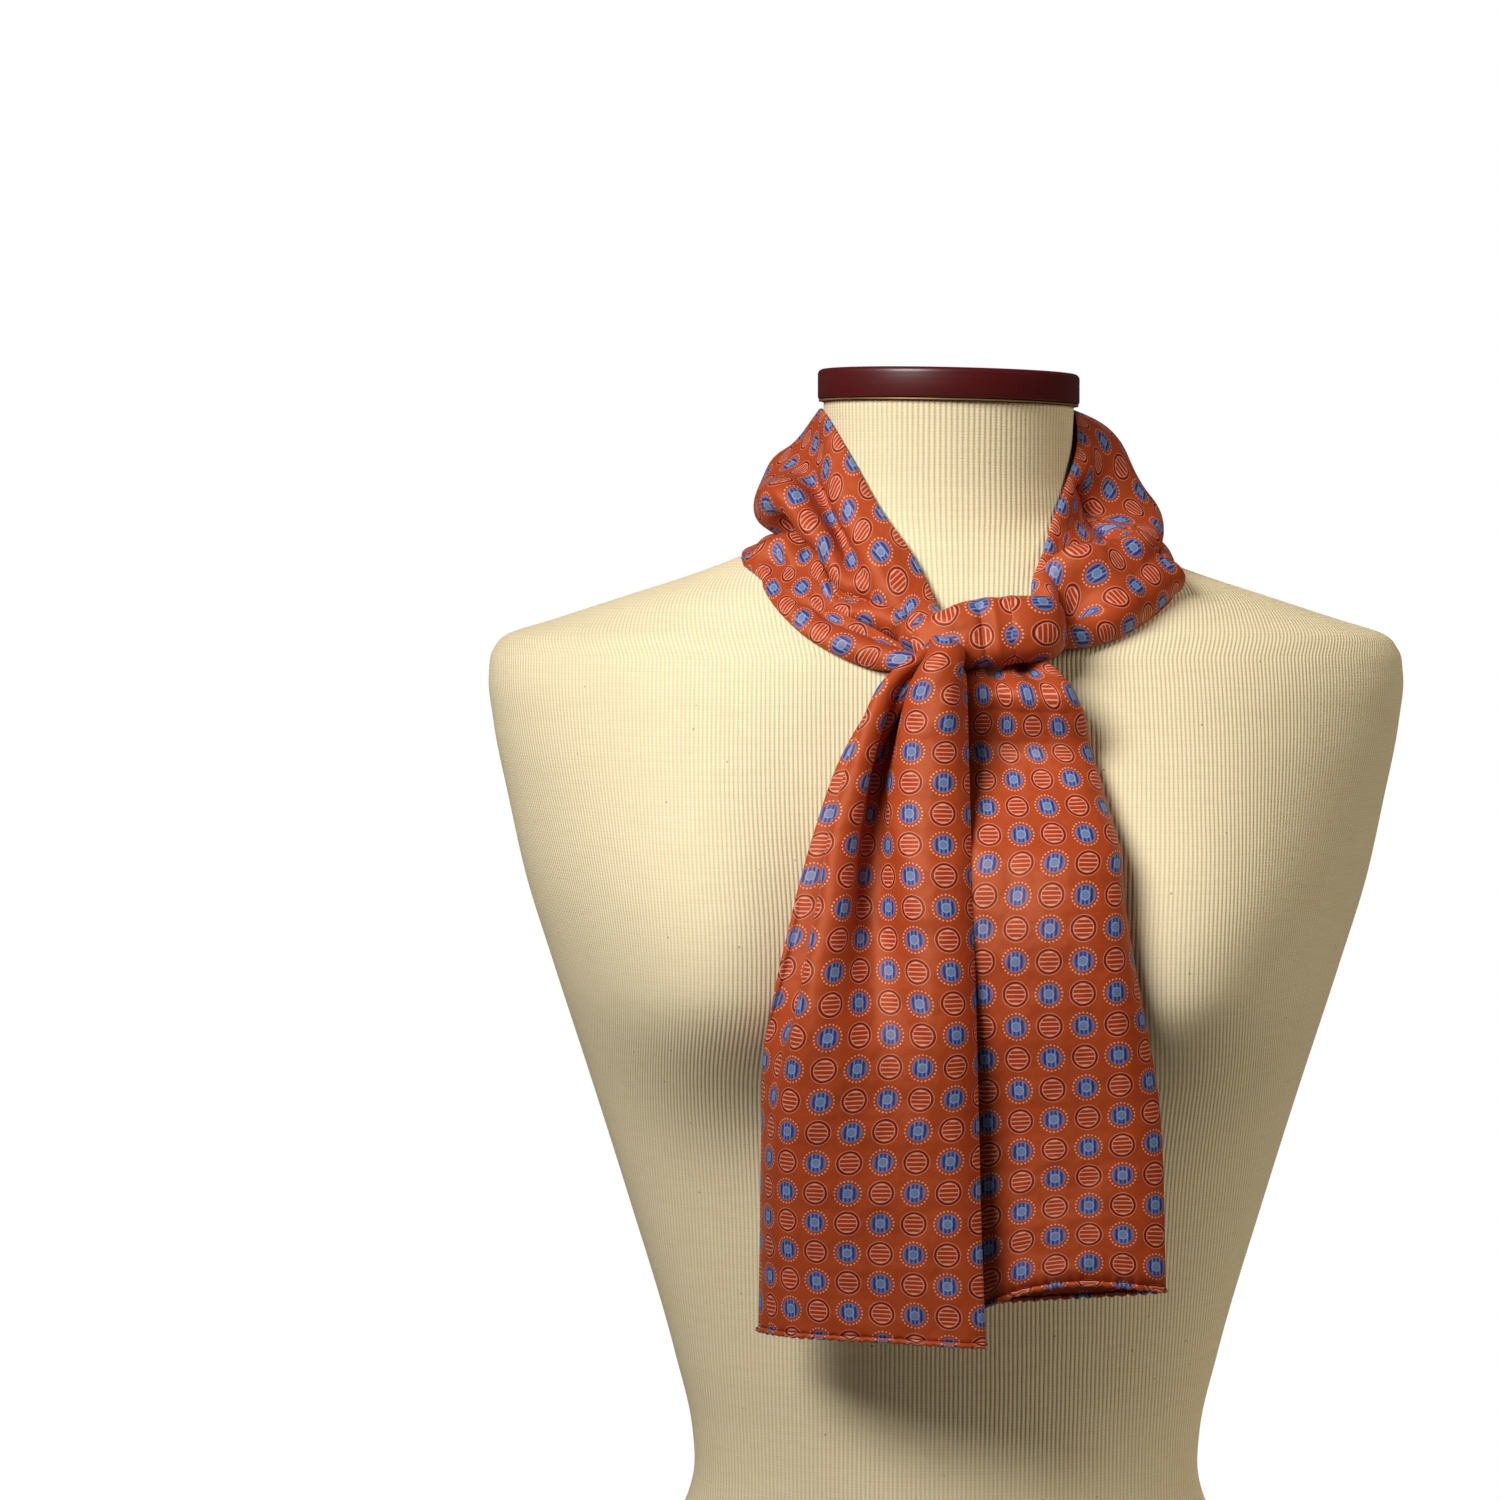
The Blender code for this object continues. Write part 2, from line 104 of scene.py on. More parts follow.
SHOULDER_SAMPLES = 600
CHEST_RIB = 1.95
NECK_RIB = 2.45

# The drops between which the ribs narrow from the neck's pitch to the chest's
RIB_CHANGE = (50, 110)

CAP_RADIUS = 57.5
CAP_HEIGHT = 13.2
CAP_ROUND = 2.2
CAP_ROUND_STEP = 15
CAP_EASE = 0.3
CAP_FOOT = 1.0
TRIM_RADIUS = 57.1
TRIM_HEIGHT = 0.6
CAP_GAP = 0.2
TURNED_STEPS = 160
SHARP_ANGLE = 60


# The scarf's sizes. Each row of a stretch gives the cloth's two edges as x, y and drop, then its
# turn, in degrees away from the line between its edges, at each place across that the first
# line names. A positive turn leads away from the form.

CLOTH_WIDTH = 115.0
HALF_TUBE = 0.8
LAYER = 0.35
REST_GAP = 0.5

LOOP_ACROSS = (0, 12, 24, 32, 42, 52, 64, 76, 86, 96, 106, CLOTH_WIDTH)
LOOP_ROWS = (
    (6, -79, 93, -12, -86, 115, 40, 0, -60, -120, -100, 60, 90, -70, -100, 80, 20, -60),
    (-7, -77, 90, -25, -85, 114, 40, 0, -60, -120, -100, 60, 90, -70, -100, 80, 20, -60),
    (-10, -69, 83, -38, -80, 113, 25, 5, -35, -125, -110, 30, 60, -40, -70, 60, 0, -50),
    (-18, -61, 66.5, -54, -76, 106, 15, 5, -30, -80, -140, -20, 60, 0, -80, 50, 10, -45),
    (-31.5, -48, 46.7, -68, -66, 96.5, 14, -10, -50, 26, -60, -130, 20, 60, -85, 40, 15, -45),
    (-44, -34, 23.7, -80, -46, 82.5, 8, -16, -34, 52, 15, -75, -95, 50, 15, -40, 60, -45),
    (-54, -15, 6, -81, -17, 71, -5, -12, 8, 34, 22, -10, -52, -20, 40, 22, -50, -125),
    (-56, 10, 2, -79, 16, 66, 10, 8, 12, 18, 8, -12, -48, -20, 38, 22, -60, -135),
    (-50, 33, 4, -73, 50, 61, 10, 8, 16, 18, 0, -10, -45, 20, -110, 60, 60, -40),
    (-33, 52, 3, -46, 74, 56, 55, 45, 0, -60, -60, 60, 20, -90, -120, 90, 60, -50),
    (0, 58, 3, 0, 82, 54, 55, 45, 0, -80, -60, 60, 30, -90, -120, 90, 60, -50),
    (33, 52, 3, 46, 74, 56, 55, 45, 10, -60, -30, 50, 30, -90, -120, 90, 60, -50),
    (51, 33, 3, 76, 50, 60, 46, 36, 2, -34, 0, 30, 0, -90, -120, 90, 60, -50),
    (57, 10, 4, 94, 16, 65, 28, 16, 0, -10, -6, 0, -50, -125, -40, 90, 30, -50),
    (56, -13, 20, 98, -18, 76, 20, -40, -20, 20, 20, 20, -60, -110, 40, 90, 0, -55),
    (50, -26, 36, 93.5, -42, 86, 15, -75, -25, 25, 25, 40, 110, 60, -10, 10, -35, -60),
    (44, -39, 51, 83.5, -57, 94, 15, -85, -35, 25, 40, 110, 125, 10, -10, 0, -40, -70),
    (39, -53, 64, 71, -69, 100.5, 15, -65, -65, 25, 95, 125, 50, -30, -20, 0, -50, -80),
    (33, -66, 79, 55, -78, 104.5, 25, -40, -110, -20, 110, 110, -30, -70, -50, 60, -40, -90),
    (34, -79, 89, 37, -86, 105.5, 50, -60, -120, -80, 100, 100, -80, -110, 90, 90, 0, -80),
)
LOOP_STEPS = 250
LOOP_POINTS = 78

LEFT_TAIL_ACROSS = (0, 10, 20, 28, 38, 48, 58, 70, 82, 94, 106, CLOTH_WIDTH)
LEFT_TAIL_ROWS = (
    (-11, -88, 107, 1, -91, 111, 50, -40, 125, 130, -80, -120, 20, 120, 30, -70, -120, -60),
    (-21, -95, 114, 2.5, -102, 117, 30, -20, 120, 130, -60, -110, 20, 100, 20, -60, -110, -60),
    (-34, -102, 126, 2.5, -111, 128, 20, 0, 120, 120, -20, -90, -30, 80, 30, -10, -60, -70),
    (-49, -104, 151, 2.8, -117, 151, 20, 5, 130, 130, 0, -95, -60, 80, 40, 0, -40, -80),
    (-59.5, -110, 180, 3.3, -125, 179.5, 20, 5, 120, 125, 0, -75, -60, 65, 40, 0, -30, -75),
    (-68, -117, 209, 4.1, -133, 208, 25, -5, 95, 100, 0, -65, -50, 35, 35, -5, -35, -70),
    (-76.5, -122, 241, 4.8, -136.5, 240.5, 38, 5, 72, 74, -5, -40, -38, 8, 22, -8, -38, -72),
    (-81, -118, 270.5, 5.4, -137.5, 269.5, 48, 28, 45, 36, 0, -15, -24, -8, 5, -15, -40, -72),
    (-82, -106, 314, 6.6, -138, 312.5, 50, 38, 32, 20, 2, -8, -20, -20, -15, -22, -40, -72),
    (-82.5, -95, 356, 7.8, -140, 355, 50, 42, 28, 15, 2, -8, -18, -22, -24, -28, -38, -70),
    (-83, -90, 392.8, 9.2, -139, 391, 46, 36, 24, 12, 0, -8, -18, -22, -25, -28, -36, -68),
)
RIGHT_TAIL_ACROSS = (0, 14, 28, 42, 56, 70, 82, 94, 105, CLOTH_WIDTH)
RIGHT_TAIL_ROWS = (
    (-2, -82, 107, 20, -82, 107.5, 50, -70, 60, -60, 60, -60, 60, 30, -80, -100),
    (-6, -88, 111, 30, -87, 112, 40, -50, 45, -45, 45, -40, 50, 20, -70, -100),
    (-13, -97, 117, 37, -93, 118, 30, -30, 25, -25, 25, -20, 20, 0, -70, -105),
    (-17, -102, 123.5, 42.5, -97, 124, 22, -18, 14, -14, 12, -10, 0, -22, -70, -105),
    (-19, -99.6, 129.5, 46, -94.8, 130, 22, -16, 12, -12, 10, -10, 0, -24, -70, -102),
    (-20.5, -96.4, 135, 48, -92.3, 135.5, 22, -14, 10, -10, 8, -8, -2, -25, -68, -100),
    (-21.5, -93.6, 140, 49, -90, 140.5, 22, -12, 10, -8, 6, -6, -3, -26, -66, -98),
    (-22, -91.8, 145, 50, -88.8, 145.5, 22, -10, 10, -6, 4, -4, -5, -26, -66, -96),
    (-22, -91.8, 151, 51.5, -89, 151.5, 22, -6, 10, -4, 3, -3, -6, -26, -65, -95),
    (-22, -94.6, 159, 53.5, -91.6, 159, 22, 0, 9, -2, 2, -2, -7, -26, -63, -93),
    (-22.2, -100.4, 170, 56.5, -97.6, 170, 24, 6, 8, 0, 0, -2, -8, -26, -60, -90),
    (-22.5, -106.8, 186, 60, -106.2, 185.5, 28, 13, 9, 0, 0, -5, -12, -30, -62, -92),
    (-22.5, -111, 210, 65, -119, 208.5, 32, 20, 10, 0, 0, -8, -15, -32, -62, -92),
    (-22.8, -110, 251, 73.5, -128, 248, 32, 20, 12, 2, -2, -10, -15, -28, -55, -85),
    (-23, -106, 308, 82, -129, 300, 28, 20, 12, 2, -2, -10, -15, -22, -42, -72),
    (-23, -103, 381, 84.5, -128, 370, 28, 20, 12, 2, -2, -10, -15, -22, -38, -68),
)
TAIL_STEPS = 150
TAIL_POINTS = 78
TAIL_LEAN = 0.3
TAIL_CLEAR = 1.0

# The right end's open mouth: how deep and tall it is, how it rounds and fades upwards, and the
# share of its depth that lies in front
MOUTH_DEEP = 11.0
MOUTH_TALL = 90.0
MOUTH_ROUND = 0.8
MOUTH_TAPER = 1.5
MOUTH_FORWARD = 0.35

# How far the hems arch up, where the right end's arch starts across it, and how far it leans
FRONT_LIFT = 7.8
LEFT_LIFT = 3.0
ARCH_FROM = 0.33
ARCH_SKEW = 0.9

KNOT_WIDTH = 48.0
KNOT_ACROSS = (0, 8, 16, 24, 32, 40, KNOT_WIDTH)
KNOT_ROWS = (
    (-11, -86, 99, -10, -87, 105, 100, 60, 20, 0, -40, -80, -100),
    (-6, -89, 97.5, -4.5, -91, 108, 95, 60, 10, 0, -20, -70, -95),
    (-1, -89, 92, 1.5, -92, 111, 90, 60, 5, 5, -20, -60, -95),
    (5, -88, 89, 7, -93, 112, 90, 60, 10, -5, -15, -60, -95),
    (11, -87, 87.5, 13, -93, 112, 90, 60, 10, -10, -10, -60, -95),
    (16.5, -87, 87, 18, -92, 111.5, 85, 55, 10, -5, -15, -60, -90),
    (22, -86, 86.5, 23.5, -91, 110.5, 90, 60, 10, -5, -15, -60, -95),
    (27.5, -87, 87, 29, -91, 109.5, 90, 60, 10, 0, -20, -60, -95),
    (32, -84, 88, 33, -88, 107, 80, 50, 10, 0, -10, -50, -85),
    (34, -79, 89.5, 34.5, -82, 105, 80, 50, 10, 0, -10, -50, -85),
)
KNOT_STEPS = 60
KNOT_POINTS = 50

# Small creases pressed into the cloth: from a place across and along to another, then how wide
# the crease is and how far it stands out
LOOP_CREASES = (
    (8, 30, 14, 105, 3.0, 0.8),
    (19, 24, 19, 150, 2.6, 1.2),
    (27, 28, 26, 155, 2.6, -1.4),
    (60, 44, 84, 94, 2.5, 0.9),
    (70, 74, 96, 124, 3.0, -0.8),
    (92, 39, 104, 104, 2.2, 0.7),
    (6, 455, 12, 520, 3.0, 0.6),
    (88, 440, 100, 515, 3.0, -0.7),
    (60, 470, 72, 525, 2.5, 0.8),
    (30, 190, 44, 260, 5.0, 1.0),
    (70, 230, 60, 330, 5.0, 1.0),
)
LEFT_TAIL_CREASES = (
    (62, 60, 88, 120, 3.5, 0.9),
    (50, 95, 64, 150, 4.0, -1.0),
    (84, 110, 112, 128, 5.0, 0.8),
    (30, 170, 60, 200, 6.0, 0.7),
    (8, 150, 30, 185, 4.0, 0.8),
    (70, 205, 104, 232, 7.0, -0.6),
    (96, 15, 100, 60, 2.5, 0.7),
)
RIGHT_TAIL_CREASES = (
    (34, 12, 60, 34, 2.5, 0.9),
    (62, 8, 84, 30, 2.5, -0.8),
    (78, 60, 98, 110, 5.0, 0.8),
    (44, 90, 58, 150, 6.0, -0.6),
    (90, 150, 104, 215, 5.0, 0.7),
    (56, 200, 84, 240, 7.0, 0.6),
)
KNOT_CREASES = (
    (14, 4, 22, 26, 1.8, 0.7),
    (30, 2, 34, 24, 3.2, -0.7),
    (6, 26, 44, 28.5, 1.5, -1.6),
    (8, 32, 42, 34, 1.6, 0.9),
    (20, 8, 26, 20, 2.5, -0.4),
)

# How cloth is laid out: the most its turns are sharpened, the halvings that find how much, the
# share of the points spaced evenly, and the places that this is worked out at
SHARPEST = 1.7
HALVINGS = 30
EVEN_SHARE = 0.8
FINE_PLACES = 400

# How cloth is kept off the form: how far apart the form is felt for, and the farthest that one
# round moves a point
FEEL = 0.5
LIFT_STEP = 6.0
LIFT_ROUNDS = 7

# The outer side of the cloth faces away from a line up the neck
NECK_AXIS_Y = 10.0

# The rolled hems: each stitch draws the roll in, and the cloth above it puckers unevenly
HEM_RADIUS = 1.15
HEM_SIDES = 10
HEM_PUCKER = 4.8
HEM_THIN = 0.8
HEM_SWELL = 0.3
HEM_DROP = 0.1
HEM_SCALLOP = 0.6
PUCKER_DEEP = 0.35
PUCKER_TALL = 5.0
PUCKER_STRAY = 0.6
STRAY_WIDE = 9

# The print, in millimetres of cloth, and how far it is shifted across and along on each end
DISC_PITCH = 13.8
ROW_PITCH = 13.4
PRINT_EDGE = 0.22
PRINT_DRIFT = 0.3
LEFT_PRINT = (-3.6, -2.0)
RIGHT_PRINT = (0.1, -4.0)

# The striped disc's rings, from the outside in: middle, width and colour
STRIPED_RINGS = (
    (5.5, 0.3, (218, 136, 104)),
    (4.75, 1.1, (112, 14, 8)),
)
STRIPED_RIM = 4.3
STRIPES_RADIUS = 3.95
STRIPES_TALL = 3.4
STRIPE_PITCH = 1.9
STRIPE_HALF = 0.38
STRIPE_EDGE = 0.12

# The blue disc's upright bands: distance from its middle line, width and colour
BLUE_BANDS = (
    (2.65, 1.0, (30, 46, 104)),
    (0.85, 0.8, (34, 52, 110)),
    (1.65, 0.3, (116, 152, 196)),
)

# The blue disc's hub, from the outside in: radius and colour
BLUE_HUB = (
    (2.05, (134, 164, 200)),
    (1.65, (96, 128, 166)),
)
BLUE_RADIUS = 4.25
BLUE_RIM = 4.1
BLUE_RIM_WIDE = 0.35
DOTS_RADIUS = 5.5
DOT_RADIUS = 0.34
RIM_DOTS = 22
TWILL_PITCH = 0.6

# The jersey's courses, and the drop above which it is stretched round the neck
COURSE_PITCH = 1.3
STRETCHED_DROP = 75.0
STRETCHED_FADE = 40.0

# Colours as they look on a screen, from 0 to 255
SILK_DARK = (152, 54, 20)
SILK_LIGHT = (190, 82, 38)
SILK_SLUB = (156, 52, 22)
SILK_GRAIN = (112, 40, 26)
STRIPE_RED = (166, 50, 20)
STRIPE_PINK = (226, 160, 130)
RIM_PINK = (222, 150, 122)
DOT_PINK = (232, 176, 148)
DISC_BLUE = (66, 106, 168)
RIM_BLUE = (92, 130, 184)
RIDGE_PALE = (246, 234, 200)
RIDGE_WARM = (240, 226, 190)
# Painted shade in the jersey's rib grooves, in two tones
GROOVE_SHADE_DEEP = (186, 156, 100)
GROOVE_SHADE_SOFT = (206, 178, 122)
STREAK_TAN = (198, 174, 126)
FLECK_BROWN = (120, 92, 58)
LACQUER_DARK = (50, 8, 9)
LACQUER_RED = (104, 15, 16)
LACQUER_DULL = (52, 14, 14)
BRASS_DARK = (150, 108, 60)
BRASS_LIGHT = (196, 156, 100)
FLOOR_GREY = (222, 222, 222)
FLOOR_PALE = (230, 230, 230)
SILK_SHEEN = (1.0, 0.45, 0.25, 1.0)


# The studio, in metres, watts and degrees

FLOOR_RADIUS = 0.75
FLOOR_SIDES = 96
KEY_PLACE = (-0.82, -0.97, 1.5)
KEY_AIM = (0.0, -0.05, 0.7)
KEY_POWER = 151
KEY_SIZE = 0.42
KEY_CONE = 42
KEY_BLEND = 0.8

# The two soft suns: name, power, spread and turn
SUNS = (
    ("fill", 1.15, 30, (70, 0, 75)),
    ("back", 1.1, 25, (60, 0, 165)),
)
SUN_COLOUR = (1.0, 0.93, 0.8)
SKY_LIGHT = 0.05
SKY_SEEN = 1.0
CAMERA_PLACE = (-0.0873, -1.94, 0.736)
CAMERA_LEAN = 87.4
LENS = 105.6
SENSOR = 36
FAR_CLIP = 100


def through(stations, values, at):
    """A smooth curve through the values at rising stations, read at the given places."""
    x = np.asarray(stations, float)
    y = np.asarray(values, float)
    slope = np.gradient(y, x, axis=0)
    at = np.clip(np.asarray(at, float), x[0], x[-1])
    k = np.clip(np.searchsorted(x, at, side="right") - 1, 0, len(x) - 2)
    span = (x[k + 1] - x[k])[:, None]
    s = (at - x[k])[:, None] / span
    before = (2 * s**3 - 3 * s**2 + 1) * y[k] + (s**3 - 2 * s**2 + s) * span * slope[k]
    after = (3 * s**2 - 2 * s**3) * y[k + 1] + (s**3 - s**2) * span * slope[k + 1]
    return before + after


FORM_TABLE = np.array(FORM_ROWS, float)
FINE_DROPS = np.linspace(0, NECK_TOP, int(2 * NECK_TOP) + 1)
FINE_SIZES = through(FORM_TABLE[:, 0], FORM_TABLE[:, 1:], FINE_DROPS).T


def form_sizes(drop):
    """Half width, front, back, middle and squareness of the form's section at each drop."""
    return [np.interp(drop, FINE_DROPS, column) for column in FINE_SIZES]


def neck_tilt(x, drop):
    """How far the tilt of the neck's top lifts a point of the form."""
    return -x * NECK_LEAN * np.clip(1 - drop / TILT_DEPTH, 0, 1) ** 2


def bust(x, drop, half):
    """How far the bust stands in front of the plain sections."""
    across = np.exp(-0.5 * ((np.abs(x) - BUST_APART) / BUST_WIDE) ** 2)
    across += np.exp(-0.5 * ((np.abs(x) + BUST_APART) / BUST_WIDE) ** 2)
    tall = np.where(drop < BUST_DROP, BUST_ABOVE, BUST_BELOW)
    down = np.exp(-0.5 * ((drop - BUST_DROP) / tall) ** 2)
    return BUST_OUT * across * down * np.clip(1 - (np.abs(x) / half) ** BUST_FADE, 0, 1)


def outside(points):
    """About how far each point lies outside the form, less than 0 inside it."""
    x, y = points[..., 0], points[..., 1]
    level = NECK_TOP - points[..., 2]
    drop = level + neck_tilt(x, level)
    half, front, back, middle, square = form_sizes(drop)
    ahead = y < middle
    reach = np.where(ahead, middle - front, back - middle)
    forward = np.minimum(y + bust(x, drop, half) - middle, 0)
    local = np.where(ahead, forward, y - middle)
    ratio = ((np.abs(x) / half) ** square + (np.abs(local) / reach) ** square) ** (1 / square)
    return (ratio - 1) * np.minimum(half, reach)


def lifted(points, gap):
    """The points, with any that lie nearer the form than the gap moved straight out to it."""
    points = points.copy()
    for _ in range(LIFT_ROUNDS):
        rise = [outside(points + FEEL * axis) - outside(points - FEEL * axis) for axis in np.eye(3)]
        slope = np.stack(rise, axis=-1) / (2 * FEEL)
        size = np.linalg.norm(slope, axis=-1) + 1e-6
        short = np.clip(gap - outside(points) / size, 0, LIFT_STEP)
        points += (short / size)[..., None] * slope
    return points


def laid_out(across, turns, chords):
    """Sections of cloth with these turns, as distances along and away from their chords.

    The turns are all made sharper or softer together until the section's ends are a chord apart.
    """
    step = np.diff(across)
    middle = np.radians((turns[:, 1:] + turns[:, :-1]) / 2)
    start = np.zeros((len(chords), 1))

    def walk(scale):
        angle = middle * scale[:, None]
        along = np.concatenate([start, np.cumsum(step * np.cos(angle), axis=1)], axis=1)
        away = np.concatenate([start, np.cumsum(step * np.sin(angle), axis=1)], axis=1)
        return along, away

    low = np.zeros(len(chords))
    high = np.full(len(chords), SHARPEST)
    for _ in range(HALVINGS):
        scale = (low + high) / 2
        along, away = walk(scale)
        long = np.hypot(along[:, -1], away[:, -1]) > chords
        low = np.where(long, scale, low)
        high = np.where(long, high, scale)
    along, away = walk(scale)
    lean = np.arctan2(away[:, -1], along[:, -1])[:, None]
    size = (chords / np.hypot(along[:, -1], away[:, -1]))[:, None]
    straight = along * np.cos(lean) + away * np.sin(lean)
    raised = away * np.cos(lean) - along * np.sin(lean)
    return straight * size, raised * size


def spread(across, turns, count):
    """Places across the cloth, closer together where it turns."""
    fine = np.linspace(across[0], across[-1], FINE_PLACES)
    turn = through(across, turns.T, fine)
    bend = np.abs(np.gradient(turn, fine, axis=0)).mean(axis=1)
    weight = np.cumsum(bend + EVEN_SHARE * bend.mean())
    return np.interp(np.linspace(weight[0], weight[-1], count), weight, fine)


def normals_of(surface, side):
    """Unit normals of a surface of points, all turned to the side that out points to."""
    normal = np.cross(np.gradient(surface, axis=0), np.gradient(surface, axis=1))
    normal /= np.linalg.norm(normal, axis=-1, keepdims=True) + 1e-9
    return normal * np.sign((normal * side).sum(axis=-1).mean())


def creased(surface, normal, places, lengths, creases):
    """The surface with small creases pressed into it, each along a line on the cloth."""
    for across_0, along_0, across_1, along_1, wide, deep in creases:
        run_across = across_1 - across_0
        run_along = along_1 - along_0
        long = math.hypot(run_across, run_along)
        aside = places[None, :] - across_0
        ahead = lengths[:, None] - along_0
        part = (aside * run_across + ahead * run_along) / long**2
        off = (aside * run_along - ahead * run_across) / long
        fade = np.clip(1 - (2 * part - 1) ** 2, 0, 1)
        surface = surface + (deep * np.exp(-((off / wide) ** 2)) * fade)[..., None] * normal
    return surface


def cloth(rows, across, steps, points, gap, creases, lean=1.0):
    """The middle surface of a stretch, its outward normals, and its places across and along.

    The lean is how much of the cloth's upward or downward slope its folds follow.
    """
    rows = np.array(rows, float)
    stations = np.arange(len(rows))
    table = through(stations, rows, np.linspace(0, len(rows) - 1, steps))
    first = table[:, 0:3]
    last = table[:, 3:6]
    first[:, 2] = NECK_TOP - first[:, 2]
    last[:, 2] = NECK_TOP - last[:, 2]
    places = spread(across, rows[:, 6:], points)
    turns = through(across, table[:, 6:].T, places).T
    chords = np.linalg.norm(last - first, axis=1)
    along, away = laid_out(places, turns, chords)
    line = (last - first) / chords[:, None]
    out = np.cross(np.gradient((first + last) / 2, axis=0), line) * (1, 1, lean)
    out /= np.linalg.norm(out, axis=1, keepdims=True)
    from_neck = (first + last) / 2 * (1, 1, 0) - (0, NECK_AXIS_Y, 0)
    out *= np.sign((out * from_neck).sum(axis=1))[:, None]
    surface = first[:, None] + along[..., None] * line[:, None] + away[..., None] * out[:, None]
    surface = lifted(surface, gap)
    step = np.linalg.norm(np.diff(surface, axis=0), axis=-1).mean(axis=1)
    lengths = np.concatenate([[0], np.cumsum(step)])
    normal = normals_of(surface, out[:, None])
    surface = lifted(creased(surface, normal, places, lengths, creases), gap)
    return surface, normals_of(surface, out[:, None]), places, lengths


def round_tube(surface, normal, places, front, back, raised=0.0):
    """Rings round a flat tube, from the middle of its back, and the places round the cloth.

    The front layer can be raised above the back one.
    """
    middle = len(places) // 2
    face = surface + front * normal + raised
    rear = surface - back * normal
    width = places[-1]
    edge_in = surface[:, :1] - surface[:, 1:2]
    edge_out = surface[:, -1:] - surface[:, -2:-1]
    edge_in /= np.linalg.norm(edge_in, axis=-1, keepdims=True)
    edge_out /= np.linalg.norm(edge_out, axis=-1, keepdims=True)
    near = surface[:, :1] + HALF_TUBE * edge_in
    far = surface[:, -1:] + HALF_TUBE * edge_out
    rings = [rear[:, middle::-1], near, face, far, rear[:, : middle - 1 : -1]]
    turned_in = -2 * HALF_TUBE - places[middle::-1]
    turned_out = 2 * width + 2 * HALF_TUBE - places[: middle - 1 : -1]
    round_places = [turned_in, [-HALF_TUBE], places, [width + HALF_TUBE], turned_out]
    return np.concatenate(rings, axis=1), np.concatenate(round_places)


def placed(name, data):
    """A new object in the scene, made from a mesh, a light or a camera."""
    made = bpy.data.objects.new(name, data)
    bpy.context.scene.collection.objects.link(made)
    return made


def finished(name, work):
    """The worked mesh as a smooth piece in the scene."""
    mesh = bpy.data.meshes.new(name)
    work.to_mesh(mesh)
    work.free()
    mesh.shade_smooth()
    return placed(name, mesh)


def grid_piece(name, points, across, along, ends=False):
    """A tube of points whose last column meets its first, with a map in millimetres of cloth.

    Its two ends are closed where ends is true.
    """
    rows, columns = points.shape[:2]
    across = np.broadcast_to(across, (rows, columns))
    along = np.broadcast_to(np.asarray(along)[:, None], (rows, columns))
    work = bmesh.new()
    bmesh.ops.create_grid(work, x_segments=columns - 1, y_segments=rows - 1, size=1)
    cloth_map = work.loops.layers.uv.new("cloth")
    place = {}
    for vert in work.verts:
        i = round((vert.co.x + 1) / 2 * (columns - 1))
        j = round((vert.co.y + 1) / 2 * (rows - 1))
        place[vert.index] = (across[j, i], along[j, i])
        vert.co = points[j, i] * MM
    for face in work.faces:
        for loop in face.loops:
            loop[cloth_map].uv = place[loop.vert.index]
    bmesh.ops.remove_doubles(work, verts=work.verts, dist=MERGE)
    if ends:
        rim = [edge for edge in work.edges if edge.is_boundary]
        bmesh.ops.holes_fill(work, edges=rim)
    bmesh.ops.recalc_face_normals(work, faces=work.faces)
    return finished(name, work)


# Materials


class Number:
    """A number socket in a material, used in ordinary sums: each operator adds a Math node."""

    def __init__(self, paint, socket):
        self.paint = paint
        self.socket = socket

    def math(self, operation, *values, clamp=False):
        node = self.paint.node("ShaderNodeMath", {"operation": operation, "use_clamp": clamp})
        for socket, value in zip(node.inputs, values):
            self.paint.feed(socket, value)
        return Number(self.paint, node.outputs[0])

    def __add__(self, other):
        return self.math("ADD", self, other)

    def __radd__(self, other):
        return self.math("ADD", other, self)

    def __sub__(self, other):
        return self.math("SUBTRACT", self, other)

    def __rsub__(self, other):
        return self.math("SUBTRACT", other, self)

    def __mul__(self, other):
        return self.math("MULTIPLY", self, other)

    def __rmul__(self, other):
        return self.math("MULTIPLY", other, self)

    def __truediv__(self, other):
        return self.math("DIVIDE", self, other)

    def __rtruediv__(self, other):
        return self.math("DIVIDE", other, self)

    def __pow__(self, other):
        return self.math("POWER", self, other)

    def __abs__(self):
        return self.math("ABSOLUTE", self)

    def nearest(self):
        """The nearest whole number."""
        return self.math("ROUND", self)

    def part(self):
        """What is left above the whole number below."""
        return self.math("FRACT", self)

    def odd(self):
        """1 for an odd whole number and 0 for an even one."""
        return self.math("FLOORED_MODULO", self, 2.0)

    def wave(self, pitch):
        """A smooth wave from -1 to 1 that repeats at this pitch."""
        return self.math("SINE", self * (2 * math.pi / pitch))

    def angle_from(self, across):
        """The angle, in radians, of a point this far up and so far across."""
        return self.math("ARCTAN2", self, across)

    def below(self, edge, soft):
        """1 below the edge and 0 above it, with a soft change between."""
        return self.math("ADD", (edge - self) / soft, 0.5, clamp=True)

    def band(self, middle, wide, soft):
        """1 within half the width of the middle, and 0 outside."""
        return abs(self - middle).below(wide / 2, soft)


